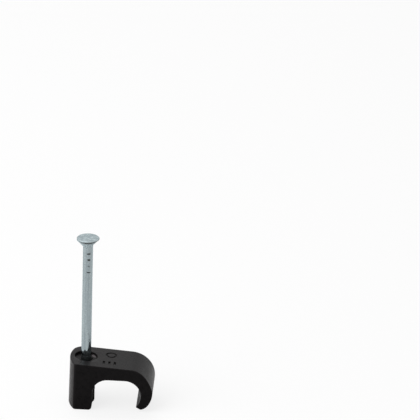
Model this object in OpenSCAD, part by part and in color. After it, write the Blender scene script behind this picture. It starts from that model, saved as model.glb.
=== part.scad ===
// Nail-in cable clip: a moulded plastic hook that holds a cable against a wall,
// with its steel nail already standing in the leg.
// Millimetres. The origin is where the nail's axis meets the wall plane.
// +Z runs up the nail, +X runs from the nail to the hook, Y runs along the cable.

/* [Clip body] */
// Depth of the clip, along the cable
clip_depth = 8.8; // [6:0.1:12]
// Height of the top face at the nail
clip_height = 9.95; // [9:0.05:12]
// Fall of the top face from the nail to the hook, in degrees
top_fall = 3.8; // [0:0.1:6]
// Distance from the nail's axis to the bowed end, at the wall
end_reach = 3.4; // [2.6:0.05:4.5]
// Radius of the bowed end, seen from above
end_bow_r = 9.5; // [9.5:0.5:14]
// Draft of the bowed end, in degrees
end_draft = 1; // [0:0.1:3]
// Round along the bowed end's lower edge
end_foot_r = 0.5; // [0.2:0.1:1]

/* [Cable channel] */
// Distance from the nail's axis to the leg's flat side, on the cable's side
leg_reach = 1.55; // [1.3:0.05:1.7]
// Width of the channel, from the leg to the hook's farthest point
channel_width = 9.9; // [8:0.1:12]
// Height of the channel above the wall
channel_height = 6.8; // [5.5:0.05:7.2]
// Round between the leg and the bar over the channel
leg_round_r = 3.2; // [1:0.05:4]
// Round at the leg's lower corner, on the cable's side
leg_foot_r = 0.7; // [0.1:0.05:1]

/* [Hook] */
// Inner radius of the hook
hook_inner_r = 3.35; // [2.8:0.05:3.8]
// Thickness of the hook at its farthest point
hook_wall = 2.33; // [1.6:0.05:3]
// Outer radius of the hook
hook_outer_r = 5; // [4:0.1:5.5]
// Outer radius of the hook's lower end
hook_tip_r = 2.25; // [1.8:0.05:3]
// Angle below the outer round's centre at which the lower end's round begins, in degrees
tip_turn = 35; // [28:1:42]
// Angle below the inner round's centre at which the hook's inside ends, in degrees
hook_wrap = 45; // [30:1:48]
// Slant of the hook's end face, in degrees
tip_slant = 28; // [15:1:45]

/* [Nail] */
// Diameter of the nail's shank
nail_d = 2; // [1.6:0.1:2.2]
// Length of the nail over its head
nail_length = 35; // [25:1:45]
// Height of the nail's point above the wall, as the clip is supplied
nail_lift = 0.9; // [0.2:0.1:3]
// Diameter of the nail's head
head_d = 4.5; // [3.8:0.1:5]
// Thickness of the head's rim
head_rim = 0.35; // [0.2:0.05:0.6]
// Length of the flare between the head's rim and the shank
head_flare = 1.35; // [0.8:0.05:1.8]
// Chamfer round the head's upper edge
head_chamfer = 0.1; // [0.05:0.01:0.2]
// Length of the four-sided point
point_length = 2.8; // [2:0.1:4]

/* [Grip marks] */
// Number of grip marks on each side of the shank
grip_count = 4; // [2:1:6]
// Distance from the head's top to the first grip mark
grip_first = 3.15; // [2.6:0.05:5]
// Spacing of the grip marks along the shank
grip_pitch = 1.33; // [0.8:0.01:1.6]
// Depth of a grip mark
grip_depth = 0.1; // [0.04:0.01:0.16]
// Width of a grip mark along the shank
grip_width = 0.4; // [0.2:0.05:0.6]
// Turn of the grip marks about the nail's axis, in degrees
grip_turn = 17; // [-45:1:45]

/* [Fit] */
// Gap all round the shank in its bore
bore_clearance = 0.02; // [0.01:0.01:0.05]
// Gap all round the head in its recess
recess_clearance = 0.05; // [0.05:0.05:0.4]
// Depth of the recess's wall beyond the thickness of the head's rim
recess_sink = 0.2; // [0:0.05:0.4]
// Slope of the recess's conical floor, in degrees
recess_slope = 8; // [0:1:40]
// Chamfer where the bore opens into the recess
bore_lead = 0.1; // [0.05:0.05:0.5]
// Wall of the round boss about the bore
boss_wall = 0.8; // [0.7:0.05:1.2]

/* [Hidden] */

$fn = 96;

// Overshoot of a cutting shape past the surface that it cuts
past = 1;

// Plan: the bowed end is part of one tall drafted disc
bow_x = end_bow_r - end_reach;

// Hook: its inner round
hook_far_x = leg_reach + channel_width;
hook_x = hook_far_x - hook_inner_r;
hook_z = channel_height - hook_inner_r;
hook_out_x = hook_far_x + hook_wall;

// The outer round meets the sloping top, just proud of it so that the two cross
round_rise = 0.003;
outer_x = hook_out_x - hook_outer_r;
outer_z = clip_height + round_rise - outer_x * tan(top_fall) - hook_outer_r / cos(top_fall);
touch_x = outer_x + hook_outer_r * sin(top_fall);

// The lower end's round lies inside the outer round and crosses it where it begins
tip_reach = hook_outer_r + round_rise - hook_tip_r;
heel_x = outer_x + tip_reach * cos(tip_turn);
heel_z = outer_z - tip_reach * sin(tip_turn);

// Inner corner of the hook's end
tip_x = hook_x + hook_inner_r * cos(hook_wrap);
tip_z = hook_z - hook_inner_r * sin(hook_wrap);

// Nail and the seat that takes it
nail_r = nail_d / 2;
head_r = head_d / 2;
nail_top = nail_lift + nail_length;
bore_r = nail_r + bore_clearance;
boss_r = bore_r + boss_wall;
recess_r = head_r + recess_clearance;
recess_land = recess_sink + head_rim;
grip_r = (grip_width * grip_width / 4 + grip_depth * grip_depth) / (2 * grip_depth);

// Height of the sloping top at a distance x from the nail's axis
function top_at(x) = clip_height - x * tan(top_fall);

// Side view of the leg and the bar, up to where the hook's round begins
module leg_and_bar() {
    left = -end_reach - past;
    polygon([[left, 0], [touch_x, 0], [touch_x, top_at(touch_x)], [left, top_at(left)]]);
}

// Side view of the hook's outside, with a smaller round at its lower end
module hook_outside() {
    wide = hook_outer_r + hook_inner_r;
    difference() {
        intersection() {
            translate([outer_x, outer_z]) circle(r = hook_outer_r);
            translate([hook_x, -past]) square([wide, clip_height + past]);
        }
        difference() {
            translate([hook_x - past, -2 * past])
                square([wide + 2 * past, outer_z - hook_outer_r * sin(tip_turn) + 2 * past]);
            translate([heel_x, heel_z]) circle(r = hook_tip_r);
        }
    }
}

// Side view of the space for the cable, open at the wall
module cable_channel() {
    round_x = leg_reach + leg_round_r;
    round_z = channel_height - leg_round_r;
    translate([hook_x, hook_z]) circle(r = hook_inner_r);
    translate([round_x, round_z]) circle(r = leg_round_r);
    translate([round_x, -past]) square([hook_x - round_x, channel_height + past]);
    translate([leg_reach, -past]) square([hook_x - leg_reach, round_z + past]);
}

// Cut that gives the hook its slanted end
module tip_cut() {
    translate([tip_x, tip_z]) rotate(-tip_slant) translate([-hook_inner_r, -hook_inner_r])
        square([2 * hook_inner_r, hook_inner_r]);
}

// Cut that rounds the leg's lower corner
module leg_foot_cut() {
    translate([leg_reach - leg_foot_r, 0]) difference() {
        translate([0, -past]) square([leg_foot_r + past, leg_foot_r + past]);
        translate([0, leg_foot_r]) circle(r = leg_foot_r);
    }
}

// Whole side view of the clip
module clip_profile() {
    difference() {
        union() {
            leg_and_bar();
            hook_outside();
        }
        cable_channel();
        tip_cut();
        leg_foot_cut();
    }
}

// Half section of the tall drafted disc that shapes the bowed end, with its lower edge rounded
module bow_section() {
    tall = top_at(-end_reach) + past;
    round_x = end_bow_r - end_foot_r * (tan(end_draft) + 1 / cos(end_draft));
    wall_x = round_x + end_foot_r * cos(end_draft);
    wall_z = end_foot_r * (1 + sin(end_draft));
    polygon([[0, 0], [round_x, 0], [wall_x, wall_z], [end_bow_r - tall * tan(end_draft), tall], [0, tall]]);
    translate([round_x, end_foot_r]) circle(r = end_foot_r);
}

// Bore for the shank and conical recess for the head
module nail_seat() {
    land_z = clip_height - recess_land;
    lead_r = bore_r + bore_lead;
    lead_z = land_z - (recess_r - lead_r) * tan(recess_slope);
    mouth_z = top_at(-recess_r) + past;
    rotate_extrude() polygon([
        [0, -past], [bore_r, -past], [bore_r, lead_z - bore_lead], [lead_r, lead_z],
        [recess_r, land_z], [recess_r, mouth_z], [0, mouth_z]
    ]);
}

// Moulded hook clip
module clip_body() {
    color("#1c1b1d") difference() {
        union() {
            intersection() {
                rotate([90, 0, 0]) linear_extrude(height = clip_depth, center = true) clip_profile();
                translate([bow_x, 0, 0]) rotate_extrude() bow_section();
            }
            cylinder(r = boss_r, h = channel_height);
        }
        nail_seat();
    }
}

// Half section of the headed nail, its shank left long for the point to be cut
module nail_section() {
    rim_z = nail_top - head_rim;
    neck_z = rim_z - head_flare;
    polygon([
        [0, nail_lift - past], [nail_r, nail_lift - past], [nail_r, neck_z],
        [head_r - head_chamfer, rim_z], [head_r, rim_z], [head_r, nail_top - head_chamfer],
        [head_r - head_chamfer, nail_top], [0, nail_top]
    ]);
}

// Outline that tapers to the point, as wide as the head higher up
module point_wedge() {
    wide_z = nail_lift + head_d * point_length / nail_r;
    rotate([90, 0, 0]) linear_extrude(height = 2 * head_d, center = true) polygon([
        [0, nail_lift], [head_d, wide_z], [head_d, nail_top + past], [-head_d, nail_top + past], [-head_d, wide_z]
    ]);
}

// One grip mark across the shank
module grip_mark() {
    translate([0, -nail_r - grip_r + grip_depth, 0]) rotate([0, 90, 0])
        cylinder(r = grip_r, h = nail_d, center = true);
}

// Headed steel nail with a four-sided point
module nail() {
    color("#a9adb4") difference() {
        intersection() {
            rotate_extrude() nail_section();
            point_wedge();
            rotate(90) point_wedge();
        }
        for (side = [0, 180], i = [0 : grip_count - 1])
            rotate(grip_turn + side) translate([0, 0, nail_top - grip_first - i * grip_pitch]) grip_mark();
    }
}

clip_body();
nail();
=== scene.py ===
"""Looks of a nail-in cable clip: a black moulded hook clip with its zinc-plated nail.

Lengths are metres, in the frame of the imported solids. The origin is where the nail's
axis meets the wall, +Z runs up the nail, +X from the nail to the hook, Y along the cable.
"""

import logging
import math
from collections.abc import Callable, Mapping, Sequence
from dataclasses import dataclass
from enum import Enum
from typing import Any

import bmesh
import bpy
import numpy as np
from mathutils import Matrix, Vector

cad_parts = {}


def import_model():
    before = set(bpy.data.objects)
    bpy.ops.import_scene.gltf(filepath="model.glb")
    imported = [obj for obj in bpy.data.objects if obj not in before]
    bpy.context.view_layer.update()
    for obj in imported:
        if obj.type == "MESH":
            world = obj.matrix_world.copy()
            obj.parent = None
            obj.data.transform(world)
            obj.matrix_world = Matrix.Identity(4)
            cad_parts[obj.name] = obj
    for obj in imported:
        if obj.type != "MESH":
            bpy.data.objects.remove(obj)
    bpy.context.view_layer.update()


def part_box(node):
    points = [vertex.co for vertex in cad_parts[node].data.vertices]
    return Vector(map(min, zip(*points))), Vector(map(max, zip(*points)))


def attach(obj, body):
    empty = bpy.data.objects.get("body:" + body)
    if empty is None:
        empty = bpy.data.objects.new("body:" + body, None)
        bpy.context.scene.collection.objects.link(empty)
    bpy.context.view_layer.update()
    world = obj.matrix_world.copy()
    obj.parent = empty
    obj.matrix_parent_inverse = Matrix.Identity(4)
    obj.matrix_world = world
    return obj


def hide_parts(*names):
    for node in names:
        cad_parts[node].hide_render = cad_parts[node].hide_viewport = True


log = logging.getLogger("cable_clip")

Triple = tuple[float, float, float]
Span = tuple[float, float]
Socket = bpy.types.NodeSocket

MM = 0.001
ROOT_BODY = "root"
EDGE_RUB = "edge_rub"
# Vertices nearer than this become one
WELD = 0.0002 * MM
# Outline points nearer than this become one
SAME_POINT = 0.0001 * MM
# Degrees from point to point along an arc
ARC_STEP = 4
ARC_SPANS = 4
# Smallest square of a length to divide by
TINY = 1e-12
PATCH_ROUGHNESS = 0.6
UNIT = (0.0, 1.0)
WHITE = (1.0, 1.0, 1.0, 1.0)


class Piece(Enum):
    """Names of the solids that the finished pieces stand for."""

    CLIP_BODY = "clip_body"
    NAIL = "nail"


class Slot(Enum):
    """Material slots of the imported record."""

    BLACK_PLASTIC = "black_plastic"
    ZINC_STEEL = "zinc_steel"


class Joining(Enum):
    """Ways to combine a tool shape with a piece."""

    ADD = "UNION"
    CUT = "DIFFERENCE"


class Tree:
    """Builds a node tree: adds nodes with their values and links."""

    def __init__(self, tree: bpy.types.NodeTree) -> None:
        """Takes over an empty node tree.

        Args:
            tree: The tree to fill.
        """
        self.tree = tree

    def plug(self, socket: Socket, value: Any) -> None:
        """Links an output to a socket, or sets the socket's value.

        Args:
            socket: The input to fill.
            value: An output socket, or a plain value.
        """
        if isinstance(value, Socket):
            self.tree.links.new(value, socket)
        else:
            socket.default_value = value

    def add(
        self, kind: str, inputs: Mapping[str | int, Any] | None = None, **settings: Any
    ) -> bpy.types.Node:
        """Adds a node.

        Args:
            kind: Blender's name of the node type.
            inputs: Values or output sockets by input name or number.
            **settings: Properties of the node, set before its inputs.

        Returns:
            The new node.
        """
        node = self.tree.nodes.new(kind)
        for name, value in settings.items():
            setattr(node, name, value)
        for name, value in (inputs or {}).items():
            self.plug(node.inputs[name], value)
        return node

    def make(self, kind: str, inputs: Mapping[str | int, Any] | None = None, **settings: Any) -> Socket:
        """Adds a node as add does, and returns its first output."""
        return self.add(kind, inputs, **settings).outputs[0]

    def math(self, operation: str, *values: Any, clamp: bool = False) -> Socket:
        """Adds a Math node.

        Args:
            operation: The node's operation.
            *values: Its operands, plain or linked.
            clamp: True to keep the result from 0 to 1.

        Returns:
            The result socket.
        """
        node = self.add("ShaderNodeMath", dict(enumerate(values)), operation=operation, use_clamp=clamp)
        return node.outputs[0]

    def fold(self, operation: str, *values: Any) -> Socket:
        """Joins several values with one operation.

        Args:
            operation: A Math node's operation of two operands, such as MULTIPLY or MAXIMUM.
            *values: Two or more values, plain or linked.

        Returns:
            The last result's socket.
        """
        result = values[0]
        for value in values[1:]:
            result = self.math(operation, result, value)
        return result

    def span(
        self, value: Any, source: Sequence[Any], target: Sequence[Any] = UNIT, smooth: bool = False
    ) -> Socket:
        """Maps one range of a value to another, without going past its ends.

        Args:
            value: The value's socket.
            source: Where the range starts and ends, plain or linked.
            target: What its start and its end become.
            smooth: True to ease in and out.

        Returns:
            The mapped value's socket.
        """
        kind = "SMOOTHSTEP" if smooth else "LINEAR"
        node = self.add("ShaderNodeMapRange", {"Value": value}, interpolation_type=kind)
        for name, end in zip(("From Min", "From Max", "To Min", "To Max"), (*source, *target)):
            self.plug(node.inputs[name], end)
        return node.outputs[0]

    def vector(self, x: Any, y: Any, z: Any) -> Socket:
        """Joins three numbers into a vector and returns its socket."""
        return self.make("ShaderNodeCombineXYZ", {0: x, 1: y, 2: z})

    def pick(self, kind: str, index: Socket, values: Sequence[Any]) -> Socket:
        """Chooses one of several values by a running index.

        Args:
            kind: Data type of the values, such as FLOAT or VECTOR.
            index: The running index.
            values: One value or output socket for each index.

        Returns:
            The chosen value's socket.
        """
        node = self.add("GeometryNodeIndexSwitch", data_type=kind)
        for _ in values[2:]:
            node.index_switch_items.new()
        self.plug(node.inputs[0], index)
        for place, value in enumerate(values, start=1):
            self.plug(node.inputs[place], value)
        return node.outputs[0]

    def join(self, *shapes: Socket) -> Socket:
        """Joins several geometries.

        Args:
            *shapes: Their sockets.

        Returns:
            The joined geometry's socket.
        """
        node = self.add("GeometryNodeJoinGeometry")
        for shape in shapes:
            self.plug(node.inputs[0], shape)
        return node.outputs[0]

    def end_shape(self, shape: Socket, material: Socket) -> None:
        """Ends a geometry tree in real meshes with their material.

        Args:
            shape: The finished geometry.
            material: Its material.
        """
        real = self.make("GeometryNodeRealizeInstances", {"Geometry": shape})
        painted = self.make("GeometryNodeSetMaterial", {"Geometry": real, "Material": material})
        self.add("NodeGroupOutput", {"Geometry": painted})


@dataclass(frozen=True)
class TreeInput:
    """A named input of a node group."""

    name: str
    kind: str
    value: Any


def fresh_tree(owner: bpy.types.Material | bpy.types.World) -> Tree:
    """Starts a material's or a world's node tree.

    Args:
        owner: The material or world.

    Returns:
        The builder of its tree, which is empty.
    """
    owner.use_nodes = True
    owner.node_tree.nodes.clear()
    return Tree(owner.node_tree)


def size_inputs(owner: Any, names: str) -> list[TreeInput]:
    """Makes a tree's inputs from the sizes of a sub-assembly.

    Args:
        owner: The sub-assembly.
        names: Names of its fields, each a float or an int, with spaces between them.

    Returns:
        The inputs, named as the fields are.
    """
    inputs = []
    for name in names.split():
        value = getattr(owner, name)
        kind = "NodeSocketInt" if isinstance(value, int) else "NodeSocketFloat"
        inputs.append(TreeInput(name.replace("_", " ").title(), kind, value))
    return inputs


def new_group(
    name: str, kind: str, inputs: Sequence[TreeInput], outputs: Sequence[tuple[str, str]]
) -> Tree:
    """Makes a node group with named inputs and outputs.

    Args:
        name: Name of the group.
        kind: GeometryNodeTree or ShaderNodeTree.
        inputs: Its inputs with their first values.
        outputs: Names and socket kinds of its outputs.

    Returns:
        The builder of the new tree.
    """
    group = bpy.data.node_groups.new(name, kind)
    for item in inputs:
        socket = group.interface.new_socket(item.name, in_out="INPUT", socket_type=item.kind)
        if item.value is not None:
            socket.default_value = item.value
    for label, socket_kind in outputs:
        group.interface.new_socket(label, in_out="OUTPUT", socket_type=socket_kind)
    return Tree(group)


def link_object(name: str, mesh: bpy.types.Mesh) -> bpy.types.Object:
    """Puts a mesh into the scene at the origin.

    Args:
        name: Name of the object.
        mesh: Its mesh, with its place in its vertices.

    Returns:
        The new object.
    """
    thing = bpy.data.objects.new(name, mesh)
    bpy.context.scene.collection.objects.link(thing)
    return thing


def bake_modifiers(thing: bpy.types.Object) -> None:
    """Turns what an object's modifiers make into its plain mesh, and removes them.

    Args:
        thing: The object to bake.
    """
    evaluated = thing.evaluated_get(bpy.context.evaluated_depsgraph_get())
    mesh = bpy.data.meshes.new_from_object(evaluated)
    thing.modifiers.clear()
    thing.data = mesh
    mesh.name = thing.name


def grow(name: str, builder: Tree, values: Mapping[str, Any]) -> bpy.types.Object:
    """Makes an object from a geometry node tree, as a plain mesh.

    Args:
        name: Name of the object.
        builder: The finished tree.
        values: Values of the tree's inputs by name.

    Returns:
        The object, with its modifier baked.
    """
    thing = link_object(name, bpy.data.meshes.new(name))
    modifier = thing.modifiers.new("shape", "NODES")
    modifier.node_group = builder.tree
    for item in builder.tree.interface.items_tree:
        if item.in_out == "INPUT" and item.name in values:
            modifier[item.identifier] = values[item.name]
    bake_modifiers(thing)
    return thing


def combine(target: bpy.types.Object, tool: bpy.types.Object, joining: Joining) -> None:
    """Adds a tool shape to a piece, or cuts it out, and deletes the tool.

    Args:
        target: The piece that changes.
        tool: The closed shape that is added or cut.
        joining: Which of the two is done.
    """
    modifier = target.modifiers.new("joining", "BOOLEAN")
    modifier.operation = joining.value
    modifier.solver = "EXACT"
    modifier.object = tool
    bake_modifiers(target)
    bpy.data.objects.remove(tool)


def smooth_surface(thing: bpy.types.Object, crease: float) -> None:
    """Closes a mesh and gives it smooth shading with flat faces kept flat.

    Args:
        thing: The object to treat.
        crease: Angle in degrees past which an edge stays sharp.
    """
    work = bmesh.new()
    work.from_mesh(thing.data)
    bmesh.ops.remove_doubles(work, verts=work.verts, dist=WELD)
    bmesh.ops.dissolve_degenerate(work, edges=work.edges, dist=WELD)
    bmesh.ops.recalc_face_normals(work, faces=work.faces)
    work.to_mesh(thing.data)
    work.free()
    thing.data.polygons.foreach_set("use_smooth", [True] * len(thing.data.polygons))
    thing.data.set_sharp_from_angle(angle=math.radians(crease))
    weighted = thing.modifiers.new("flat_faces", "WEIGHTED_NORMAL")
    weighted.keep_sharp = True
    bake_modifiers(thing)


def dress(thing: bpy.types.Object, material: bpy.types.Material, piece: Piece) -> None:
    """Gives a piece its one finish and seats it in the frame.

    Args:
        thing: The finished piece.
        material: Its finish.
        piece: The solid that it stands for.
    """
    thing.data.materials.clear()
    thing.data.materials.append(material)
    thing.data.polygons.foreach_set("material_index", [0] * len(thing.data.polygons))
    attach(thing, ROOT_BODY)
    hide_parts(piece.value)
    log.info("%s: %d faces", thing.name, len(thing.data.polygons))


def close_mesh(name: str, work: bmesh.types.BMesh) -> bpy.types.Object:
    """Turns a work mesh's faces outwards and puts it into the scene.

    Args:
        name: Name of the object.
        work: The finished work mesh, which is freed.

    Returns:
        The new object.
    """
    bmesh.ops.recalc_face_normals(work, faces=work.faces)
    mesh = bpy.data.meshes.new(name)
    work.to_mesh(mesh)
    work.free()
    return link_object(name, mesh)


def turned_mesh(name: str, section: Callable[[float], np.ndarray], spokes: int) -> bpy.types.Object:
    """Turns a half section about the Z axis; the section may change with the angle.

    Args:
        name: Name of the object.
        section: Gives distances from the axis and heights at an angle, from pole to pole.
        spokes: Number of steps round the axis.

    Returns:
        The closed object.
    """
    work = bmesh.new()
    turn = 2 * math.pi / spokes
    ribs = [section(spoke * turn) for spoke in range(spokes)]
    first = work.verts.new((0, 0, ribs[0][0, 1]))
    last = work.verts.new((0, 0, ribs[0][-1, 1]))
    rows = []
    for spoke, rib in enumerate(ribs):
        cos, sin = math.cos(spoke * turn), math.sin(spoke * turn)
        rows.append([work.verts.new((reach * cos, reach * sin, height)) for reach, height in rib[1:-1]])
    for row, following in zip(rows, rows[1:] + rows[:1]):
        work.faces.new((first, row[0], following[0]))
        work.faces.new((last, following[-1], row[-1]))
        for place in range(len(row) - 1):
            work.faces.new((row[place], row[place + 1], following[place + 1], following[place]))
    return close_mesh(name, work)


@dataclass(frozen=True)
class Stretch:
    """Part of an outline: points with the normals that point out of the solid."""

    points: np.ndarray
    normals: np.ndarray


def arc(centre: Sequence[float], radius: float, start: float, end: float, hollow: bool = False) -> Stretch:
    """Lays points along an arc.

    Args:
        centre: The arc's centre.
        radius: Its radius.
        start: Its first angle, in degrees.
        end: Its last angle, in degrees.
        hollow: True where the solid lies outside the arc.

    Returns:
        The arc with its normals, a point about every four degrees.
    """
    spans = max(ARC_SPANS, round(abs(end - start) / ARC_STEP))
    angles = np.radians(np.linspace(start, end, spans + 1))
    spokes = np.column_stack((np.cos(angles), np.sin(angles)))
    return Stretch(np.asarray(centre) + radius * spokes, -spokes if hollow else spokes)


def heading(vector: np.ndarray) -> float:
    """Returns the angle of a vector, in degrees from 0 to 360."""
    return math.degrees(math.atan2(vector[1], vector[0])) % 360


def mottle_group() -> Tree:
    """Makes the shader group for uneven patches, which both finishes use.

    Returns:
        The group's builder: a mask of soft patches of a given size.
    """
    group = new_group(
        "uneven_patches",
        "ShaderNodeTree",
        [
            TreeInput("Coordinates", "NodeSocketVector", None),
            TreeInput("Patches per Metre", "NodeSocketFloat", 1000.0),
            TreeInput("Detail", "NodeSocketFloat", 3.0),
            TreeInput("Low", "NodeSocketFloat", 0.35),
            TreeInput("High", "NodeSocketFloat", 0.65),
        ],
        [("Mask", "NodeSocketFloat")],
    )
    given = group.add("NodeGroupInput")
    noise = group.make(
        "ShaderNodeTexNoise",
        {
            "Vector": given.outputs["Coordinates"],
            "Scale": given.outputs["Patches per Metre"],
            "Detail": given.outputs["Detail"],
            "Roughness": PATCH_ROUGHNESS,
        },
    )
    levels = (given.outputs["Low"], given.outputs["High"])
    group.add("NodeGroupOutput", {"Mask": group.span(noise, levels, smooth=True)})
    return group


class Finish:
    """Base of the finishes: a material with its coordinates and shared patches."""

    def __init__(self, name: str, patches: Tree) -> None:
        """Starts the material.

        Args:
            name: Name of the material.
            patches: The shared group of uneven patches.
        """
        self.material = bpy.data.materials.new(name)
        self.tree = fresh_tree(self.material)
        self.patches = patches
        self.place = self.tree.add("ShaderNodeTexCoord").outputs["Object"]

    def uneven(self, size: float, low: float, high: float, detail: float = 3.0, place: Any = None) -> Any:
        """Places the shared patches group.

        Args:
            size: Size of a patch.
            low: Noise level that gives 0.
            high: Noise level that gives 1.
            detail: Amount of finer noise.
            place: Coordinates, if not the plain ones.

        Returns:
            The mask's socket.
        """
        node = self.tree.add("ShaderNodeGroup", node_tree=self.patches.tree)
        self.tree.plug(node.inputs["Coordinates"], place or self.place)
        node.inputs["Patches per Metre"].default_value = 1 / size
        node.inputs["Detail"].default_value = detail
        node.inputs["Low"].default_value = low
        node.inputs["High"].default_value = high
        return node.outputs["Mask"]

    def blend(self, mask: Any, first: Any, second: Any) -> Any:
        """Mixes two colours.

        Args:
            mask: 0 for the first colour and 1 for the second.
            first: A colour or a colour's socket.
            second: A colour or a colour's socket.

        Returns:
            The mixed colour's socket.
        """
        node = self.tree.add("ShaderNodeMix", data_type="RGBA")
        self.tree.plug(node.inputs[0], mask)
        for socket, colour in ((node.inputs[6], first), (node.inputs[7], second)):
            self.tree.plug(socket, colour if isinstance(colour, Socket) else (*colour, 1.0))
        return node.outputs[2]

    def parts(self) -> tuple[Any, Any, Any, Any]:
        """Returns the sockets of a point's three coordinates and its distance from the Z axis."""
        x, y, z = self.tree.add("ShaderNodeSeparateXYZ", {0: self.place}).outputs
        flat = self.tree.add("ShaderNodeVectorMath", {0: self.tree.vector(x, y, 0.0)}, operation="LENGTH")
        return x, y, z, flat.outputs["Value"]

    def close(self, surface: Mapping[str, Any]) -> bpy.types.Material:
        """Ends the material in one Principled shader.

        Args:
            surface: The shader's inputs by name.

        Returns:
            The finished material.
        """
        shader = self.tree.add("ShaderNodeBsdfPrincipled", surface)
        self.tree.add("ShaderNodeOutputMaterial", {"Surface": shader.outputs[0]})
        return self.material


@dataclass(frozen=True)
class MouldedPlastic:
    """Satin black moulded plastic with a fine mould grain, and a painted highlight on the floor of the nail's
    recess.
    """

    deep: Triple = (0.003, 0.0025, 0.0026)
    pale: Triple = (0.0056, 0.0047, 0.0049)
    rub: Triple = (0.0098, 0.0083, 0.0087)
    satin: float = 0.25
    matt: float = 0.37
    gloss: float = 0.076
    leg_matt: float = 0.7
    leg_side: Span = (1.2 * MM, 2.4 * MM)
    leg_top: float = 6.0 * MM
    seat_matt: float = 0.4
    seat_reach: float = 2.32 * MM
    seat_top: float = 9.75 * MM
    # Painted highlight: a pale patch on the recess floor, behind the nail on the hook's side, standing in for
    # light caught there
    painted_highlight: Triple = (0.14, 0.122, 0.128)
    highlight_place: Triple = (1.5 * MM, 1.27 * MM, 9.3 * MM)
    highlight_reach: Triple = (0.95 * MM, 0.42 * MM, 0.3 * MM)
    highlight_turn: float = -60.0
    highlight_core: float = 0.5
    patch_size: float = 1.1 * MM
    grain_size: float = 0.16 * MM
    grain_depth: float = 0.0035 * MM
    patch_levels: Span = (0.32, 0.68)
    grain_levels: Span = (0.25, 0.75)
    grain_detail: float = 2.0
    grain_share: float = 0.4
    patch_share: float = 0.6

    def material(self, patches: Tree) -> bpy.types.Material:
        """Builds the material.

        Args:
            patches: The shared group of uneven patches.

        Returns:
            The plastic's material.
        """
        finish = Finish("black_plastic", patches)
        tree = finish.tree
        cloud = finish.uneven(self.patch_size, *self.patch_levels)
        grain = finish.uneven(self.grain_size, *self.grain_levels, self.grain_detail)
        edge = tree.add("ShaderNodeAttribute", attribute_name=EDGE_RUB).outputs["Fac"]
        rubbed = finish.blend(edge, finish.blend(cloud, self.deep, self.pale), self.rub)
        # Painted highlight: the colour pales towards the core of a soft patch on the recess floor
        local = tree.make(
            "ShaderNodeMapping",
            {
                "Vector": finish.place,
                "Location": self.highlight_place,
                "Rotation": (0.0, 0.0, math.radians(self.highlight_turn)),
                "Scale": self.highlight_reach,
            },
            vector_type="TEXTURE",
        )
        away = tree.add("ShaderNodeVectorMath", {0: local}, operation="LENGTH")
        near = tree.span(away.outputs["Value"], (1.0, self.highlight_core), smooth=True)
        colour = finish.blend(near, rubbed, self.painted_highlight)
        patchy = tree.math("MULTIPLY", cloud, self.patch_share)
        mixed = tree.math("MULTIPLY_ADD", grain, self.grain_share, patchy)
        bump = tree.make("ShaderNodeBump", {"Strength": 1.0, "Distance": self.grain_depth, "Height": grain})
        x, _, z, reach = finish.parts()
        beside = tree.math("GREATER_THAN", x, self.leg_side[0])
        before = tree.math("LESS_THAN", x, self.leg_side[1])
        under = tree.math("LESS_THAN", z, self.leg_top)
        leg = tree.fold("MULTIPLY", beside, before, under)
        within = tree.math("LESS_THAN", reach, self.seat_reach)
        seat = tree.math("MULTIPLY", within, tree.math("LESS_THAN", z, self.seat_top))
        leg_worn = tree.math("MULTIPLY", leg, self.leg_matt)
        seat_worn = tree.math("MULTIPLY", seat, self.seat_matt)
        satin = tree.span(mixed, UNIT, (self.satin, self.matt))
        return finish.close(
            {
                "Base Color": colour,
                "Roughness": tree.fold("MAXIMUM", satin, leg_worn, seat_worn),
                "Specular IOR Level": self.gloss,
                "Normal": bump,
            }
        )


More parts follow.
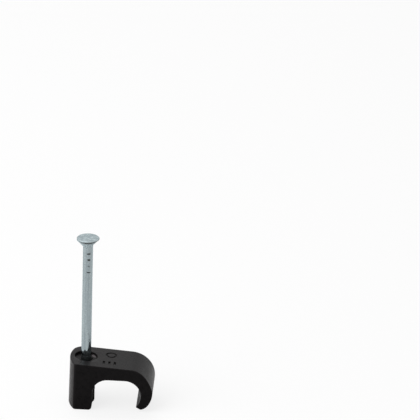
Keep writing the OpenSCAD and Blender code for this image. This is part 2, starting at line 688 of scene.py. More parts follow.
@dataclass(frozen=True)
class ZincPlate:
    """Bright zinc plate on drawn wire: bluish, streaked along the shank, darkened in its dents by dirt and
    painted shade. It has painted shade at its foot and on the hook's side of the head's rim, and painted
    light on the flare under the head.
    """

    bright: Triple = (0.358, 0.414, 0.425)
    blue: Triple = (0.3, 0.35, 0.368)
    stain: Triple = (0.235, 0.25, 0.245)
    # Colour of the dirt and painted shade in the dents, and of the painted shade at the foot and on the rim
    dirt_and_shade: Triple = (0.07, 0.075, 0.075)
    # Painted light: the flare under the head is paler
    flare_painted_light: Triple = (0.47, 0.535, 0.555)
    # Painted shade on the rim: none at x below the first value, full from the second on
    rim_shade_ramp: Span = (-1.7 * MM, -0.3 * MM)
    rim_shade: float = 0.24 * MM
    edge_tint: Triple = (0.9, 0.96, 0.98)
    smooth: float = 0.16
    dull: float = 0.3
    flare_dull: float = 0.95
    edge_dull: float = 0.5
    polish: float = 0.4
    polish_span: Span = (12.0 * MM, 13.5 * MM)
    foot_dull: float = 0.4
    # Painted shade at the nail's foot, where it goes into the seat
    foot_painted_shade: float = 0.88
    foot_span: Span = (11.1 * MM, 10.2 * MM)
    streak_width: float = 0.26 * MM
    streak_length: float = 12.0 * MM
    streak_tone: float = 0.7
    groove: Triple = (0.25, 0.296, 0.322)
    ridge: Triple = (0.42, 0.482, 0.494)
    patch_size: float = 0.9 * MM
    streak_depth: float = 0.001 * MM
    shank_radius: float = 1.0 * MM
    dent_depth: float = 0.07 * MM
    dent_start: float = 0.12
    neck_clear: float = 1.0 * MM
    flare_start: float = 1.02 * MM
    # Painted shade on the head's rim
    rim_painted_shade: float = 0.85
    speck_size: float = 0.27 * MM
    speck_share: float = 0.4
    streak_levels: Span = (0.3, 0.7)
    streak_detail: float = 4.0
    patch_levels: Span = (0.36, 0.66)
    speck_levels: Span = (0.52, 0.74)

    def material(
        self, patches: Tree, rim_low: float, rim_high: float, rim_reach: float
    ) -> bpy.types.Material:
        """Builds the material.

        Args:
            patches: The shared group of uneven patches.
            rim_low: Height of the lower edge of the head's rim.
            rim_high: Height of its upper edge.
            rim_reach: Distance from the axis past which the rim begins.

        Returns:
            The plate's material.
        """
        finish = Finish("zinc_steel", patches)
        tree = finish.tree
        scale = (1.0, 1.0, self.streak_width / self.streak_length)
        along = tree.make("ShaderNodeMapping", {"Vector": finish.place, "Scale": scale}, vector_type="POINT")
        drawing = finish.uneven(self.streak_width, *self.streak_levels, self.streak_detail, along)
        cloud = finish.uneven(self.patch_size, *self.patch_levels)
        speck = finish.uneven(self.speck_size, *self.speck_levels)
        x, _, z, reach = finish.parts()
        # Dirt and painted shade: the grip dents darken the deeper they sink
        sunk = tree.math("DIVIDE", tree.math("SUBTRACT", self.shank_radius, reach), self.dent_depth)
        on_shank = tree.math("LESS_THAN", z, rim_low - self.neck_clear)
        below_head = tree.math("LESS_THAN", z, rim_low)
        streak = tree.math("MULTIPLY", drawing, below_head)
        dent = tree.math("MULTIPLY", tree.math("SUBTRACT", sunk, self.dent_start, clamp=True), on_shank)
        # Painted shade: the head's rim and a band under it, on the hook's side
        outer = tree.math("GREATER_THAN", reach, rim_reach - self.rim_shade)
        below = tree.math("LESS_THAN", z, rim_high)
        above = tree.math("GREATER_THAN", z, rim_low - self.rim_shade)
        side = tree.span(x, self.rim_shade_ramp)
        rim = tree.fold("MULTIPLY", outer, below, above, side)
        wider = tree.math("GREATER_THAN", reach, self.flare_start)
        flare = tree.math("MULTIPLY", wider, below_head)
        rubbed = tree.span(z, self.polish_span, (self.polish, 1.0))
        foot = tree.span(z, self.foot_span)
        foot_dull = tree.math("MULTIPLY", foot, self.foot_dull)
        edge_dull = tree.math("MULTIPLY", tree.math("GREATER_THAN", reach, rim_reach), self.edge_dull)
        flare_dull = tree.math("MULTIPLY", flare, self.flare_dull)
        uneven = tree.span(tree.math("MAXIMUM", speck, cloud), UNIT, (self.smooth, self.dull))
        satin = tree.math("MULTIPLY", uneven, rubbed)
        plate = finish.blend(cloud, self.blue, self.bright)
        streaks = finish.blend(drawing, self.groove, self.ridge)
        drawn = finish.blend(tree.math("MULTIPLY", below_head, self.streak_tone), plate, streaks)
        spotted = finish.blend(tree.math("MULTIPLY", speck, self.speck_share), drawn, self.stain)
        # Painted light: the flare under the head is paler
        stained_flare_lit = finish.blend(flare, spotted, self.flare_painted_light)
        # Painted shade at the nail's foot
        foot_painted_shade = tree.math("MULTIPLY", foot, self.foot_painted_shade)
        # Painted shade on the hook's side of the rim
        rim_painted_shade = tree.math("MULTIPLY", rim, self.rim_painted_shade)
        # One darker colour for the dirt and painted shade in the dents and the painted shade at the foot and
        # on the rim
        soiled_and_shaded = tree.fold("MAXIMUM", tree.math("MINIMUM", dent, 1.0), foot_painted_shade, rim_painted_shade)
        colour = finish.blend(soiled_and_shaded, stained_flare_lit, self.dirt_and_shade)
        bump = tree.make("ShaderNodeBump", {"Strength": 1.0, "Distance": self.streak_depth, "Height": streak})
        return finish.close(
            {
                "Base Color": colour,
                "Metallic": 1.0,
                "Roughness": tree.fold("MAXIMUM", satin, flare_dull, foot_dull, edge_dull),
                "Specular Tint": (*self.edge_tint, 1.0),
                "Normal": bump,
            }
        )


@dataclass
class ClipBody:
    """The moulded clip: leg, bar and hook, with the boss and the seat for the nail."""

    depth: float
    top_height: float = 9.95 * MM
    top_fall: float = 3.8
    end_reach: float = 3.395 * MM
    end_bow_radius: float = 8.5 * MM
    end_draft: float = 1.0
    end_foot: float = 0.35 * MM
    front_corner: float = 0.2 * MM
    back_corner: float = 1.6 * MM
    leg_reach: float = 1.55 * MM
    channel_width: float = 9.9 * MM
    channel_height: float = 6.8 * MM
    leg_round: float = 3.2 * MM
    leg_foot: float = 0.7 * MM
    hook_inner: float = 3.35 * MM
    hook_wall: float = 2.33 * MM
    hook_outer: float = 5.0 * MM
    hook_ease: float = 0.26 * MM
    ease_span: Span = (-10.0, 72.0)
    hook_tip: float = 2.25 * MM
    tip_turn: float = 35.0
    hook_wrap: float = 45.0
    tip_slant: float = 28.0
    side_round: float = 0.13 * MM
    corner_round: float = 0.2 * MM
    tip_round: float = 0.12 * MM
    heel_round: float = 0.5 * MM
    bore_radius: float = 1.02 * MM
    boss_radius: float = 1.82 * MM
    boss_foot: float = 0.35 * MM
    recess_radius: float = 2.3 * MM
    recess_land: float = 0.55 * MM
    recess_slope: float = 8.0
    floor_lift: float = 0.2 * MM
    bore_lead: float = 0.1 * MM
    mouth_tear: float = 0.28 * MM
    tear_turn: float = 22.0
    tear_focus: int = 4
    rim_round: float = 0.1 * MM
    past: float = 1.0 * MM
    face_inset: float = 0.06 * MM
    rim_share: float = 0.97
    rub_radius: float = 0.6 * MM
    side_steps: int = 7
    corner_steps: int = 5
    span_steps: int = 12
    spokes: int = 96
    crease: float = 32.0

    @property
    def slope(self) -> float:
        """Fall of the top face for each metre towards the hook."""
        return math.tan(math.radians(self.top_fall))

    @property
    def hook_centre(self) -> np.ndarray:
        """Centre of the hook's inner round."""
        far = self.leg_reach + self.channel_width
        return np.array((far - self.hook_inner, self.channel_height - self.hook_inner))

    @property
    def outer_reach(self) -> float:
        """Distance from the nail's axis to the hook's outside."""
        return self.leg_reach + self.channel_width + self.hook_wall

    def top_at(self, x: float) -> float:
        """Returns the height of the sloping top at a distance from the nail's axis."""
        return self.top_height - x * self.slope

    def bowed_x(self, disc_reach: np.ndarray, y: float) -> np.ndarray:
        """Places points of the bowed end, which is part of an upright disc.

        Args:
            disc_reach: Distances of the points from the disc's axis.
            y: The section's place along the cable.

        Returns:
            Their distances from the nail's axis.
        """
        corner = self.bend(self.back_corner if y > 0 else self.front_corner, y)
        return self.end_bow_radius - self.end_reach + corner - np.sqrt(disc_reach**2 - y * y)

    def bend(self, radius: float, y: float) -> float:
        """Returns how far a round along a side face draws the surface in, at y."""
        over = max(0.0, abs(y) - self.depth / 2 + radius)
        return radius - math.sqrt(max(0.0, radius * radius - over * over))

    def end_foot_round(self, y: float) -> Stretch:
        """Returns the round at the foot of the bowed end, in the section at y."""
        draft = math.radians(self.end_draft)
        axis = self.end_bow_radius - self.end_foot * (math.tan(draft) + 1 / math.cos(draft))
        turned = arc((axis, self.end_foot), self.end_foot, self.end_draft, -90)
        points = np.column_stack((self.bowed_x(turned.points[:, 0], y), turned.points[:, 1]))
        return Stretch(points, turned.normals * (-1, 1))

    def top_corner(self, y: float) -> Stretch:
        """Returns the round between the top and the bowed end, in the section at y."""
        draft = math.radians(self.end_draft)
        heights = np.array((self.end_foot, self.top_height))
        low, high = self.bowed_x(self.end_bow_radius - heights * math.tan(draft), y)
        lean = (high - low) / (heights[1] - heights[0])
        top_normal = np.array((self.slope, 1.0)) / math.hypot(self.slope, 1.0)
        end_normal = np.array((-1.0, lean)) / math.hypot(1.0, lean)
        sides = np.array((top_normal, end_normal))
        reach = sides @ np.array((low, heights[0]))
        reach[0] = top_normal @ np.array((0.0, self.top_height))
        centre = np.linalg.solve(sides, reach - self.corner_round)
        return arc(centre, self.corner_round, heading(top_normal), heading(end_normal))

    def eased(self, outside: Stretch, y: float) -> Stretch:
        """Draws the hook's outer round in, the more the nearer a section is to the front.

        Args:
            outside: The plain outer round.
            y: The section's place along the cable.

        Returns:
            The round, flatter at its shoulder.
        """
        low, high = np.radians(self.ease_span)
        angles = np.arctan2(outside.normals[:, 1], outside.normals[:, 0])
        swell = np.sin(math.pi * np.clip((angles - low) / (high - low), 0.0, 1.0)) ** 2
        inset = self.hook_ease * (0.5 - y / self.depth) * swell
        return Stretch(outside.points - inset[:, None] * outside.normals, outside.normals)

    def hook_end(self, y: float) -> list[Stretch]:
        """Returns the inside of the hook, its slanted end and its outside, in the section at y."""
        centre = self.hook_centre
        wrap = math.radians(self.hook_wrap)
        slant = math.radians(self.tip_slant)
        corner = centre + self.hook_inner * np.array((math.cos(wrap), -math.sin(wrap)))
        along = np.array((math.cos(slant), -math.sin(slant)))
        inward = np.array((math.sin(slant), math.cos(slant)))
        outer_x = self.outer_reach - self.hook_outer
        outer_z = self.top_at(outer_x) - self.hook_outer * math.hypot(1.0, self.slope)
        outer_centre = np.array((outer_x, outer_z))
        turn = math.radians(self.tip_turn)
        apart = self.hook_outer - self.hook_tip
        tip_centre = outer_centre + apart * np.array((math.cos(turn), -math.sin(turn)))
        face = (corner, along, inward)
        tip = self.seat_round(*face, self.tip_round, centre, self.hook_inner + self.tip_round)
        heel = self.seat_round(*face, self.heel_round, tip_centre, self.hook_tip - self.heel_round)
        return [
            arc(centre, self.hook_inner, 90, heading(tip - centre) - 360, hollow=True),
            arc(tip, self.tip_round, heading(centre - tip), heading(-inward)),
            arc(heel, self.heel_round, heading(-inward), heading(heel - tip_centre)),
            arc(tip_centre, self.hook_tip, heading(heel - tip_centre) - 360, -self.tip_turn),
            self.eased(arc(outer_centre, self.hook_outer, -self.tip_turn, 90 - self.top_fall), y),
        ]

    @staticmethod
    def seat_round(
        corner: np.ndarray,
        along: np.ndarray,
        inward: np.ndarray,
        radius: float,
        hub: np.ndarray,
        spacing: float,
    ) -> np.ndarray:
        """Finds the centre of a round that touches a straight face and an arc.

        Args:
            corner: A point of the straight face.
            along: Direction of the face.
            inward: Normal of the face, into the solid.
            radius: Radius of the round.
            hub: Centre of the arc.
            spacing: Distance from the hub to the round's centre.

        Returns:
            The round's centre, on the side that the face runs to.
        """
        start = corner + radius * inward - hub
        half = float(start @ along)
        step = -half + math.sqrt(half * half - float(start @ start) + spacing * spacing)
        return hub + start + step * along

    def side_view(self, y: float) -> Stretch:
        """Lays out the clip's whole outline at one place along the cable.

        Args:
            y: The section's place.

        Returns:
            The closed outline, counterclockwise as seen from the front.
        """
        round_centre = (self.leg_reach + self.leg_round, self.channel_height - self.leg_round)
        parts = [
            self.end_foot_round(y),
            arc((self.leg_reach - self.leg_foot, self.leg_foot), self.leg_foot, -90, 0),
            arc(round_centre, self.leg_round, 180, 90, hollow=True),
            *self.hook_end(y),
            self.top_corner(y),
        ]
        points = np.vstack([part.points for part in parts])
        normals = np.vstack([part.normals for part in parts])
        apart = np.linalg.norm(points - np.roll(points, 1, axis=0), axis=1) > SAME_POINT
        return Stretch(points[apart], normals[apart])

    def sections(self) -> list[Span]:
        """Returns the place and the inset of each section, from the front face to the back."""
        half = self.depth / 2
        turns = np.radians(np.linspace(0, 90, self.side_steps))
        places = [half - self.side_round * (1 - math.sin(turn)) for turn in turns]
        places += [half - self.back_corner * (1 - math.sin(turn)) for turn in turns[: self.corner_steps]]
        places += list(np.linspace(0, half - self.back_corner, self.span_steps)[:-1])
        back = [(y, self.bend(self.side_round, y)) for y in sorted(places)]
        back.append((half, self.side_round + self.face_inset))
        return [(-y, inset) for y, inset in reversed(back)] + back[1:]

    def shell(self) -> bpy.types.Object:
        """Lofts the clip's outline along the cable, with rounded sides and a bowed end."""
        work = bmesh.new()
        rings = []
        for y, inset in self.sections():
            view = self.side_view(y)
            inner = view.points - inset * view.normals
            rings.append([work.verts.new((x, y, z)) for x, z in inner])
        for ring, following in zip(rings, rings[1:]):
            count = len(ring)
            for place in range(count):
                beside = (place + 1) % count
                work.faces.new((ring[place], ring[beside], following[beside], following[place]))
        work.faces.new(rings[0])
        work.faces.new(rings[-1])
        return close_mesh("clip_body_shell", work)

    def boss_section(self, _angle: float) -> np.ndarray:
        """Returns the half section of the round boss about the bore."""
        foot = arc((self.boss_radius - self.boss_foot, self.boss_foot), self.boss_foot, -90, 0).points
        top = self.channel_height + 0.5 * self.past
        return np.vstack(((0, 0), foot, (self.boss_radius, top), (0, top)))

    def seat_section(self, angle: float) -> np.ndarray:
        """Returns the half section of the nail's bore and conical recess, with a softened rim.

        Args:
            angle: Angle about the nail's axis, in radians. The rim follows the sloping top, the
                floor rises towards the bowed end and the bore's mouth is torn wider towards the hook.
        """
        fall = self.slope * math.cos(angle)
        tear = self.mouth_tear * max(0.0, math.cos(angle - math.radians(self.tear_turn))) ** self.tear_focus
        lead = self.bore_lead + tear
        land = self.top_height - self.recess_land + self.floor_lift * max(0.0, -math.cos(angle))
        lead_x = self.bore_radius + lead
        lead_z = land - (self.recess_radius - lead_x) * math.tan(math.radians(self.recess_slope))
        rim_x = self.recess_radius + self.rim_round
        drop = self.rim_round * math.hypot(1.0, fall)
        rim_z = self.top_height - fall * rim_x - self.rim_share * drop
        rim = arc((rim_x, rim_z), self.rim_round, 180, 90).points
        exit_x = self.bore_radius + self.rim_round
        exit_round = arc((exit_x, self.rim_share * self.rim_round), self.rim_round, 270, 180).points
        high = self.top_height + self.past
        return np.vstack(
            (
                (0, -self.past),
                (exit_x, -self.past),
                exit_round,
                (self.bore_radius, lead_z - lead),
                (lead_x, lead_z),
                (self.recess_radius, land),
                rim,
                (rim_x, high),
                (0, high),
            )
        )

    def mark_edges(self, thing: bpy.types.Object) -> None:
        """Stores how strongly each vertex lies on a small round, for the rubbed look there.

        Args:
            thing: The finished clip.
        """
        work = bmesh.new()
        work.from_mesh(thing.data)
        rubs = []
        for vert in work.verts:
            bends = [
                (vert.co - edge.other_vert(vert).co).dot(vert.normal) / max(edge.calc_length() ** 2, TINY)
                for edge in vert.link_edges
            ]
            rubs.append(min(1.0, max(0.0, max(bends) * self.rub_radius)))
        work.free()
        attribute = thing.data.attributes.new(EDGE_RUB, "FLOAT", "POINT")
        attribute.data.foreach_set("value", rubs)

    def build(self, material: bpy.types.Material) -> bpy.types.Object:
        """Makes the whole clip and seats it.

        Args:
            material: The moulded plastic.

        Returns:
            The clip's object.
        """
        clip = self.shell()
        combine(clip, turned_mesh("boss", self.boss_section, self.spokes), Joining.ADD)
        combine(clip, turned_mesh("seat", self.seat_section, self.spokes), Joining.CUT)
        combine(clip, CavityMark(self).build(), Joining.CUT)
        clip.name = "moulded_clip"
        smooth_surface(clip, self.crease)
        self.mark_edges(clip)
        dress(clip, material, Piece.CLIP_BODY)
        return clip


@dataclass
class CavityMark:
    """A plain moulder's mark sunk in the top face: one ring and a row of short bars."""

    clip: ClipBody
    ring_place: Span = (5.0 * MM, 1.5 * MM)
    ring_radius: float = 0.95 * MM
    bar_place: Span = (3.75 * MM, -2.1 * MM)
    bar_count: int = 3
    bar_pitch: float = 1.1 * MM
    bar_length: float = 1.3 * MM
    groove_radius: float = 0.24 * MM
    groove_depth: float = 0.2 * MM
    groove_sides: int = 24
    ring_steps: int = 64

    def tree(self) -> Tree:
        """Makes the geometry tree for the grooves' cutting shapes.

        Returns:
            The builder of the tree, which lies in the plane of the top face.
        """
        tree = new_group(
            "cavity_mark",
            "GeometryNodeTree",
            [
                *size_inputs(self, "ring_radius groove_radius bar_count bar_pitch bar_length"),
                TreeInput("Ring Place", "NodeSocketVector", None),
                TreeInput("Bar Place", "NodeSocketVector", None),
                TreeInput("Material", "NodeSocketMaterial", None),
            ],
            [("Geometry", "NodeSocketGeometry")],
        )
        given = tree.add("NodeGroupInput").outputs
        circles = []
        for name, steps in (("Groove Radius", self.groove_sides), ("Ring Radius", self.ring_steps)):
            sizes = {"Resolution": steps, "Radius": given[name]}
            circles.append(tree.make("GeometryNodeCurvePrimitiveCircle", sizes))
        groove, ring = circles
        ring_tube = tree.make("GeometryNodeCurveToMesh", {"Curve": ring, "Profile Curve": groove})
        ring_set = tree.make(
            "GeometryNodeTransform", {"Geometry": ring_tube, "Translation": given["Ring Place"]}
        )
        half = tree.math("MULTIPLY", given["Bar Length"], 0.5)
        bar = tree.make(
            "GeometryNodeCurvePrimitiveLine",
            {
                "Start": tree.vector(0.0, tree.math("MULTIPLY", half, -1.0), 0.0),
                "End": tree.vector(0.0, half, 0.0),
            },
        )
        bar_tube = tree.make(
            "GeometryNodeCurveToMesh",
            {"Curve": bar, "Profile Curve": groove, "Fill Caps": True},
        )
        row = tree.make(
            "GeometryNodeMeshLine",
            {
                "Count": given["Bar Count"],
                "Start Location": given["Bar Place"],
                "Offset": tree.vector(given["Bar Pitch"], 0.0, 0.0),
            },
        )
        bars = tree.make("GeometryNodeInstanceOnPoints", {"Points": row, "Instance": bar_tube})
        tree.end_shape(tree.join(ring_set, bars), given["Material"])
        return tree

    def build(self) -> bpy.types.Object:
        """Makes the cutting shape and lays it on the sloping top.

        Returns:
            The tool to cut the clip with.
        """
        lift = self.groove_radius - self.groove_depth
        tool = grow(
            "cavity_mark",
            self.tree(),
            {
                "Ring Place": (*self.ring_place, lift),
                "Bar Place": (*self.bar_place, lift),
            },
        )
        turn = Matrix.Rotation(math.radians(self.clip.top_fall), 4, "Y")
        tool.data.transform(Matrix.Translation((0, 0, self.clip.top_height)) @ turn)
        return tool


@dataclass
class Nail:
    """The flat-headed nail: turned section, four-sided point and pressed grip marks."""

    top: float
    point: float
    head_radius: float = 2.25 * MM
    shank_radius: float = 1.0 * MM
    head_rim: float = 0.35 * MM
    head_flare: float = 1.3 * MM
    head_chamfer: float = 0.1 * MM
    neck_round: float = 0.4 * MM
    neck_skew: float = 0.15 * MM
    point_length: float = 2.8 * MM
    point_sides: int = 4
    grip_first: float = 3.15 * MM
    grip_pitch: float = 1.33 * MM
    grip_depth: float = 0.1 * MM
    grip_width: float = 0.4 * MM
    grip_turn: float = 17.0
    # Scale of each grip mark: its length, its reach to the axis and its width
    grip_forms: tuple[Triple, ...] = (
        (1.2, 0.968, 0.85),
        (0.55, 0.985, 1.25),
        (0.9, 1.045, 1.3),
        (1.4, 0.964, 0.55),
    )
    grip_tilt: float = 9.0
    seed: int = 5
    spokes: int = 72
    shank_cuts: int = 70
    round_steps: int = 6
    round_share: float = 0.7
    below_point: float = 0.5 * MM
    end_clear: float = 0.1 * MM
    neck_rise: float = 1.5 * MM
    weld: float = 0.0005 * MM
    block_size: float = 12.0 * MM
    roller_share: float = 1.1
    roller_sides: int = 32
    crease: float = 38.0

    def tree(self) -> Tree:
        """Makes the geometry tree for the nail.

        Returns:
            The builder of the tree.
        """
        tree = new_group(
            "turned_nail",
            "GeometryNodeTree",
            [
                *size_inputs(self, "top point point_length shank_radius head_radius head_rim head_flare"),
                *size_inputs(self, "head_chamfer neck_round neck_skew grip_first grip_pitch"),
                *size_inputs(self, "grip_depth grip_width seed"),
                TreeInput("Grip Turn", "NodeSocketFloat", math.radians(self.grip_turn)),
                TreeInput("Grip Tilt", "NodeSocketFloat", math.radians(self.grip_tilt)),
                TreeInput("Material", "NodeSocketMaterial", None),
            ],
            [("Geometry", "NodeSocketGeometry")],
        )
        given = tree.add("NodeGroupInput").outputs
        turned = self.turned(tree, given)
        cutters = tree.join(self.point_cutters(tree, given), self.grip_cutters(tree, given))
        loose = tree.make("GeometryNodeRealizeInstances", {"Geometry": cutters})
        cut = tree.add("GeometryNodeMeshBoolean", operation="DIFFERENCE", solver="EXACT")
        tree.plug(cut.inputs["Mesh 1"], turned)
        tree.plug(cut.inputs["Mesh 2"], loose)
        tree.plug(cut.inputs["Self Intersection"], True)
        tree.end_shape(cut.outputs[0], given["Material"])
        return tree

    def turned(self, tree: Tree, given: Any) -> Socket:
        """Turns the nail's half section about its axis.

        Args:
            tree: The tree to add to.
            given: The tree's input sockets by name.

        Returns:
            The turned mesh's socket.
        """
        rim_low = tree.math("SUBTRACT", given["Top"], given["Head Rim"])
        neck = tree.math("SUBTRACT", rim_low, given["Head Flare"])
        inner = tree.math("SUBTRACT", given["Head Radius"], given["Head Chamfer"])
        shoulder = tree.math("SUBTRACT", given["Top"], given["Head Chamfer"])
        low = tree.math("SUBTRACT", given["Point"], self.below_point)
        outline = [
            tree.vector(0.0, 0.0, given["Top"]),
            tree.vector(inner, 0.0, given["Top"]),
            tree.vector(given["Head Radius"], 0.0, shoulder),
            tree.vector(given["Head Radius"], 0.0, rim_low),
            tree.vector(inner, 0.0, rim_low),
            tree.vector(given["Shank Radius"], 0.0, neck),
            tree.vector(given["Shank Radius"], 0.0, low),
            tree.vector(0.0, 0.0, low),
        ]
        edge = tree.math("MULTIPLY", given["Head Chamfer"], self.round_share)
        rounds = [0.0, edge, edge, edge, 0.0, given["Neck Round"], 0.0, 0.0]
        index = tree.make("GeometryNodeInputIndex")
        corners = tree.make(
            "GeometryNodePoints", {"Count": len(outline), "Position": tree.pick("VECTOR", index, outline)}
        )
        line = tree.make("GeometryNodePointsToCurves", {"Points": corners})
        rounded = tree.add("GeometryNodeFilletCurve", mode="POLY")
        for name, value in (
            ("Curve", line),
            ("Count", self.round_steps),
            ("Radius", tree.pick("FLOAT", index, rounds)),
            ("Limit Radius", True),
        ):
            tree.plug(rounded.inputs[name], value)
        place = tree.make("GeometryNodeInputPosition")
        part = tree.add("ShaderNodeSeparateXYZ", {0: place}).outputs
        off_shank = tree.math("ABSOLUTE", tree.math("SUBTRACT", part[0], given["Shank Radius"]))
        on_shank = tree.math("LESS_THAN", off_shank, self.weld)
        above_low = tree.math("GREATER_THAN", part[2], tree.math("ADD", low, self.end_clear))
        cuts = tree.fold("MULTIPLY", on_shank, above_low, float(self.shank_cuts))
        fine = tree.make("GeometryNodeSubdivideCurve", {"Curve": rounded.outputs[0], "Cuts": cuts})
        count = tree.make("GeometryNodeAttributeDomainSize", {0: fine}, component="CURVE")
        sheet = tree.make("GeometryNodeMeshGrid", {"Vertices X": self.spokes + 1, "Vertices Y": count})
        spoke = tree.math("FLOOR", tree.math("DIVIDE", tree.math("ADD", index, 0.5), count))
        along = tree.math("SUBTRACT", index, tree.math("MULTIPLY", spoke, count))
        sample = tree.add("GeometryNodeSampleIndex", data_type="FLOAT_VECTOR")
        tree.plug(sample.inputs["Geometry"], fine)
        tree.plug(sample.inputs["Value"], place)
        tree.plug(sample.inputs["Index"], along)
        at = tree.add("ShaderNodeSeparateXYZ", {0: sample.outputs[0]}).outputs
        angle = tree.math("MULTIPLY", spoke, 2 * math.pi / self.spokes)
        ahead = tree.math("COSINE", angle)
        rise_from = tree.math("SUBTRACT", neck, self.neck_rise)
        rise = tree.span(at[2], (rise_from, neck), smooth=True)
        fade = tree.span(at[2], (shoulder, rim_low), smooth=True)
        sway = tree.fold("MULTIPLY", rise, fade, given["Neck Skew"])
        spun = tree.vector(
            tree.math("MULTIPLY", at[0], ahead),
            tree.math("MULTIPLY", at[0], tree.math("SINE", angle)),
            tree.math("MULTIPLY_ADD", sway, ahead, at[2]),
        )
        wrapped = tree.make("GeometryNodeSetPosition", {"Geometry": sheet, "Position": spun})
        return tree.make("GeometryNodeMergeByDistance", {"Geometry": wrapped, "Distance": self.weld})

    def point_cutters(self, tree: Tree, given: Any) -> Socket:
        """Makes the four blocks that cut the nail's point.

        Args:
            tree: The tree to add to.
            given: The tree's input sockets by name.

        Returns:
            The socket of the four instances.
        """
        size = self.block_size
        slant = tree.math("ARCTAN2", given["Shank Radius"], given["Point Length"])
        block = tree.make("GeometryNodeMeshCube", {"Size": (size, size, size)})
        beside = tree.make(
            "GeometryNodeTransform", {"Geometry": block, "Translation": (size / 2, 0.0, 0.0)}
        )
        leaned = tree.make(
            "GeometryNodeTransform",
            {"Geometry": beside, "Rotation": self.turn(tree, 0.0, slant, 0.0)},
        )
        index = tree.make("GeometryNodeInputIndex")
        tip = tree.vector(0.0, 0.0, given["Point"])
        tips = tree.make("GeometryNodePoints", {"Count": self.point_sides, "Position": tip})
        quarter = tree.math("MULTIPLY", index, 2 * math.pi / self.point_sides)
        return tree.make(
            "GeometryNodeInstanceOnPoints",
            {
                "Points": tips,
                "Instance": leaned,
                "Rotation": self.turn(tree, 0.0, 0.0, quarter),
            },
        )

    def grip_cutters(self, tree: Tree, given: Any) -> Socket:
        """Makes the rows of rollers that press the grip marks, on two sides of the shank.

        Args:
            tree: The tree to add to.
            given: The tree's input sockets by name.

        Returns:
            The socket of the instances.
        """
        half = tree.math("MULTIPLY", given["Grip Width"], 0.5)
        squares = tree.math(
            "ADD",
            tree.math("MULTIPLY", half, half),
            tree.math("MULTIPLY", given["Grip Depth"], given["Grip Depth"]),
        )
        radius = tree.math("DIVIDE", squares, tree.math("MULTIPLY", given["Grip Depth"], 2.0))
        length = tree.math("MULTIPLY", given["Shank Radius"], self.roller_share)
        sizes = {"Vertices": self.roller_sides, "Radius": radius, "Depth": length}
        roller = tree.make("GeometryNodeMeshCylinder", sizes)
        reach = tree.math("SUBTRACT", tree.math("ADD", given["Shank Radius"], radius), given["Grip Depth"])
        laid = tree.make(
            "GeometryNodeTransform",
            {
                "Geometry": roller,
                "Translation": tree.vector(0.0, tree.math("MULTIPLY", reach, -1.0), 0.0),
                "Rotation": self.turn(tree, 0.0, math.pi / 2, 0.0),
            },
        )
        per_side = len(self.grip_forms)
        index = tree.make("GeometryNodeInputIndex")
        side = tree.math("FLOOR", tree.math("DIVIDE", tree.math("ADD", index, 0.5), float(per_side)))
        step = tree.math("SUBTRACT", index, tree.math("MULTIPLY", side, float(per_side)))
        first = tree.math("SUBTRACT", given["Top"], given["Grip First"])
        height = tree.math("SUBTRACT", first, tree.math("MULTIPLY", step, given["Grip Pitch"]))
        spots = tree.make(
            "GeometryNodePoints", {"Count": 2 * per_side, "Position": tree.vector(0.0, 0.0, height)}
        )
        chance = tree.add("FunctionNodeRandomValue", data_type="FLOAT")
        for name, value in (("Min", -1.0), ("Max", 1.0), ("ID", index), ("Seed", given["Seed"])):
            live = (socket for socket in chance.inputs if socket.enabled and socket.name == name)
            tree.plug(next(live), value)
        jitter = next(socket for socket in chance.outputs if socket.enabled)
        tilt = tree.math("MULTIPLY", jitter, given["Grip Tilt"])
        face = tree.math("ADD", given["Grip Turn"], tree.math("MULTIPLY", side, math.pi))
        return tree.make(
            "GeometryNodeInstanceOnPoints",
            {
                "Points": spots,
                "Instance": laid,
                "Rotation": self.turn(tree, 0.0, tilt, face),
                "Scale": tree.pick("VECTOR", step, self.grip_forms),
            },
        )

    @staticmethod
    def turn(tree: Tree, x: Any, y: Any, z: Any) -> Socket:
        """Joins three angles into a rotation and returns its socket."""
        return tree.make("FunctionNodeEulerToRotation", {0: tree.vector(x, y, z)})

    def build(self, material: bpy.types.Material) -> bpy.types.Object:
        """Makes the whole nail and seats it.

        Args:
            material: The zinc plate.

        Returns:
            The nail's object.
        """
        nail = grow("zinc_nail", self.tree(), {"Material": material})
        smooth_surface(nail, self.crease)
        dress(nail, material, Piece.NAIL)
        return nail


@dataclass(frozen=True)
class SoftLamp:
    """A square soft lamp that looks at the clip."""

    name: str
    place: Triple
    size: float
    power: float

    def light(self, target: Vector) -> None:
        """Puts the lamp into the scene.

        Args:
            target: The point that it looks at.
        """
        data = bpy.data.lights.new(self.name, "AREA")
        data.shape = "SQUARE"
        data.size = self.size
        data.energy = self.power
        lamp = bpy.data.objects.new(self.name, data)
        lamp.location = self.place
        lamp.rotation_euler = (target - Vector(self.place)).to_track_quat("-Z", "Y").to_euler()
        bpy.context.scene.collection.objects.link(lamp)


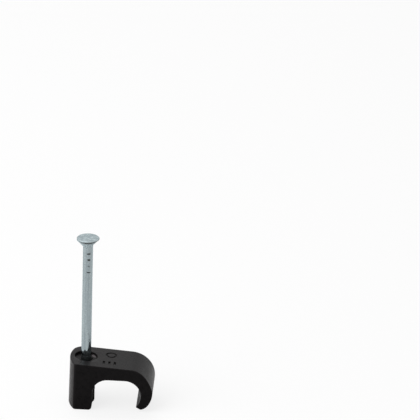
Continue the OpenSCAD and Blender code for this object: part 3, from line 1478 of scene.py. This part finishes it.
@dataclass
class Studio:
    """The pale floor, the white surroundings, the lamps and the camera."""

    aim: Triple = (0.0, 0.0, 9.85 * MM)
    aim_pixel: Span = (86.2, 356.2)
    frame_pixels: float = 420.0
    azimuth: float = 4.5
    elevation: float = 26.0
    roll: float = 0.9
    distance: float = 550 * MM
    pixels_per_metre: float = 4950.0
    floor_reach: float = 1.5
    floor_drop: float = 0.01 * MM
    floor_seen: float = 0.99
    floor_bounce: float = 0.62
    floor_white: float = 0.8
    ambient: float = 0.35
    sensor: float = 36.0
    clip_range: Span = (0.01, 20.0)
    lamps: tuple[SoftLamp, ...] = (
        SoftLamp("left_lamp", (-0.34, -0.2, 0.28), 0.45, 1.9),
        SoftLamp("right_lamp", (0.6, 0.25, 0.3), 0.45, 0.15),
        SoftLamp("top_lamp", (-0.13, 0.36, 0.64), 0.6, 1.9),
    )

    def seen(self, tree: Tree) -> Socket:
        """Returns 1 for rays that show the background: straight, mirrored or through glass."""
        path = tree.add("ShaderNodeLightPath").outputs
        mirrored = tree.math("MAXIMUM", path["Is Glossy Ray"], path["Is Transmission Ray"])
        return tree.math("MAXIMUM", path["Is Camera Ray"], mirrored)

    def floor(self) -> None:
        """Lays the pale floor just under the clip; from below it is clear."""
        mesh = bpy.data.meshes.new("floor")
        far = self.floor_reach
        corners = [(-far, -far), (far, -far), (far, far), (-far, far)]
        mesh.from_pydata([(x, y, -self.floor_drop) for x, y in corners], [], [(0, 1, 2, 3)])
        material = bpy.data.materials.new("pale_floor")
        tree = fresh_tree(material)
        level = tree.span(self.seen(tree), UNIT, (self.floor_bounce, self.floor_seen))
        lit = tree.make("ShaderNodeBsdfDiffuse", {"Color": level})
        white = tree.make("ShaderNodeEmission", {"Color": WHITE, "Strength": 1.0})
        straight = tree.add("ShaderNodeLightPath").outputs["Is Camera Ray"]
        share = tree.math("MULTIPLY", straight, self.floor_white)
        pale = tree.make("ShaderNodeMixShader", {0: share, 1: lit, 2: white})
        clear = tree.make("ShaderNodeBsdfTransparent")
        under = tree.add("ShaderNodeNewGeometry").outputs["Backfacing"]
        sided = tree.make("ShaderNodeMixShader", {0: under, 1: pale, 2: clear})
        tree.add("ShaderNodeOutputMaterial", {"Surface": sided})
        mesh.materials.append(material)
        link_object("floor", mesh)

    def surroundings(self) -> None:
        """Makes the world white to look at and plain as a light."""
        world = bpy.data.worlds.new("white_tent")
        bpy.context.scene.world = world
        tree = fresh_tree(world)
        strength = tree.span(self.seen(tree), UNIT, (self.ambient, 1.0))
        white = tree.make("ShaderNodeBackground", {"Color": WHITE, "Strength": strength})
        tree.add("ShaderNodeOutputWorld", {"Surface": white})

    def camera(self) -> None:
        """Stands the camera where the view was taken from, turned so that the aim meets its pixel."""
        azimuth, elevation = math.radians(self.azimuth), math.radians(self.elevation)
        level = math.cos(elevation)
        back = Vector((math.sin(azimuth) * level, -math.cos(azimuth) * level, math.sin(elevation)))
        right = Vector((0, 0, 1)).cross(back).normalized()
        upright = Matrix((right, back.cross(right), back)).transposed()
        focus = self.pixels_per_metre * self.distance
        across = (self.aim_pixel[0] - self.frame_pixels / 2) / focus
        up = (self.frame_pixels / 2 - self.aim_pixel[1]) / focus
        to_aim = Vector((across, up, -1.0)).rotation_difference(Vector((0, 0, -1)))
        data = bpy.data.cameras.new("camera")
        data.sensor_width = self.sensor
        data.lens = data.sensor_width * focus / self.frame_pixels
        data.clip_start, data.clip_end = self.clip_range
        camera = bpy.data.objects.new("camera", data)
        rolled = upright @ Matrix.Rotation(math.radians(self.roll), 3, "Z") @ to_aim.to_matrix()
        camera.matrix_world = Matrix.Translation(Vector(self.aim) + self.distance * back) @ rolled.to_4x4()
        bpy.context.scene.collection.objects.link(camera)
        bpy.context.scene.camera = camera

    def build(self) -> None:
        """Sets up the whole studio."""
        bpy.context.scene.view_settings.view_transform = "Standard"
        self.camera()
        self.floor()
        self.surroundings()
        for lamp in self.lamps:
            lamp.light(Vector(self.aim))
        log.info("studio: %d lamps", len(self.lamps))


def main() -> None:
    """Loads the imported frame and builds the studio, the clip and its nail."""
    logging.basicConfig(level=logging.INFO, format="%(name)s: %(message)s")
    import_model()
    clip_low, clip_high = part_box(Piece.CLIP_BODY.value)
    nail_low, nail_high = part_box(Piece.NAIL.value)
    patches = mottle_group()
    Studio().build()
    ClipBody(depth=clip_high.y - clip_low.y).build(MouldedPlastic().material(patches))
    nail = Nail(top=nail_high.z, point=nail_low.z)
    rim_low = nail.top - nail.head_rim
    rim_high = nail.top - nail.head_chamfer
    rim_reach = nail.head_radius - nail.head_chamfer
    nail.build(ZincPlate().material(patches, rim_low, rim_high, rim_reach))


if __name__ == "__main__":
    main()
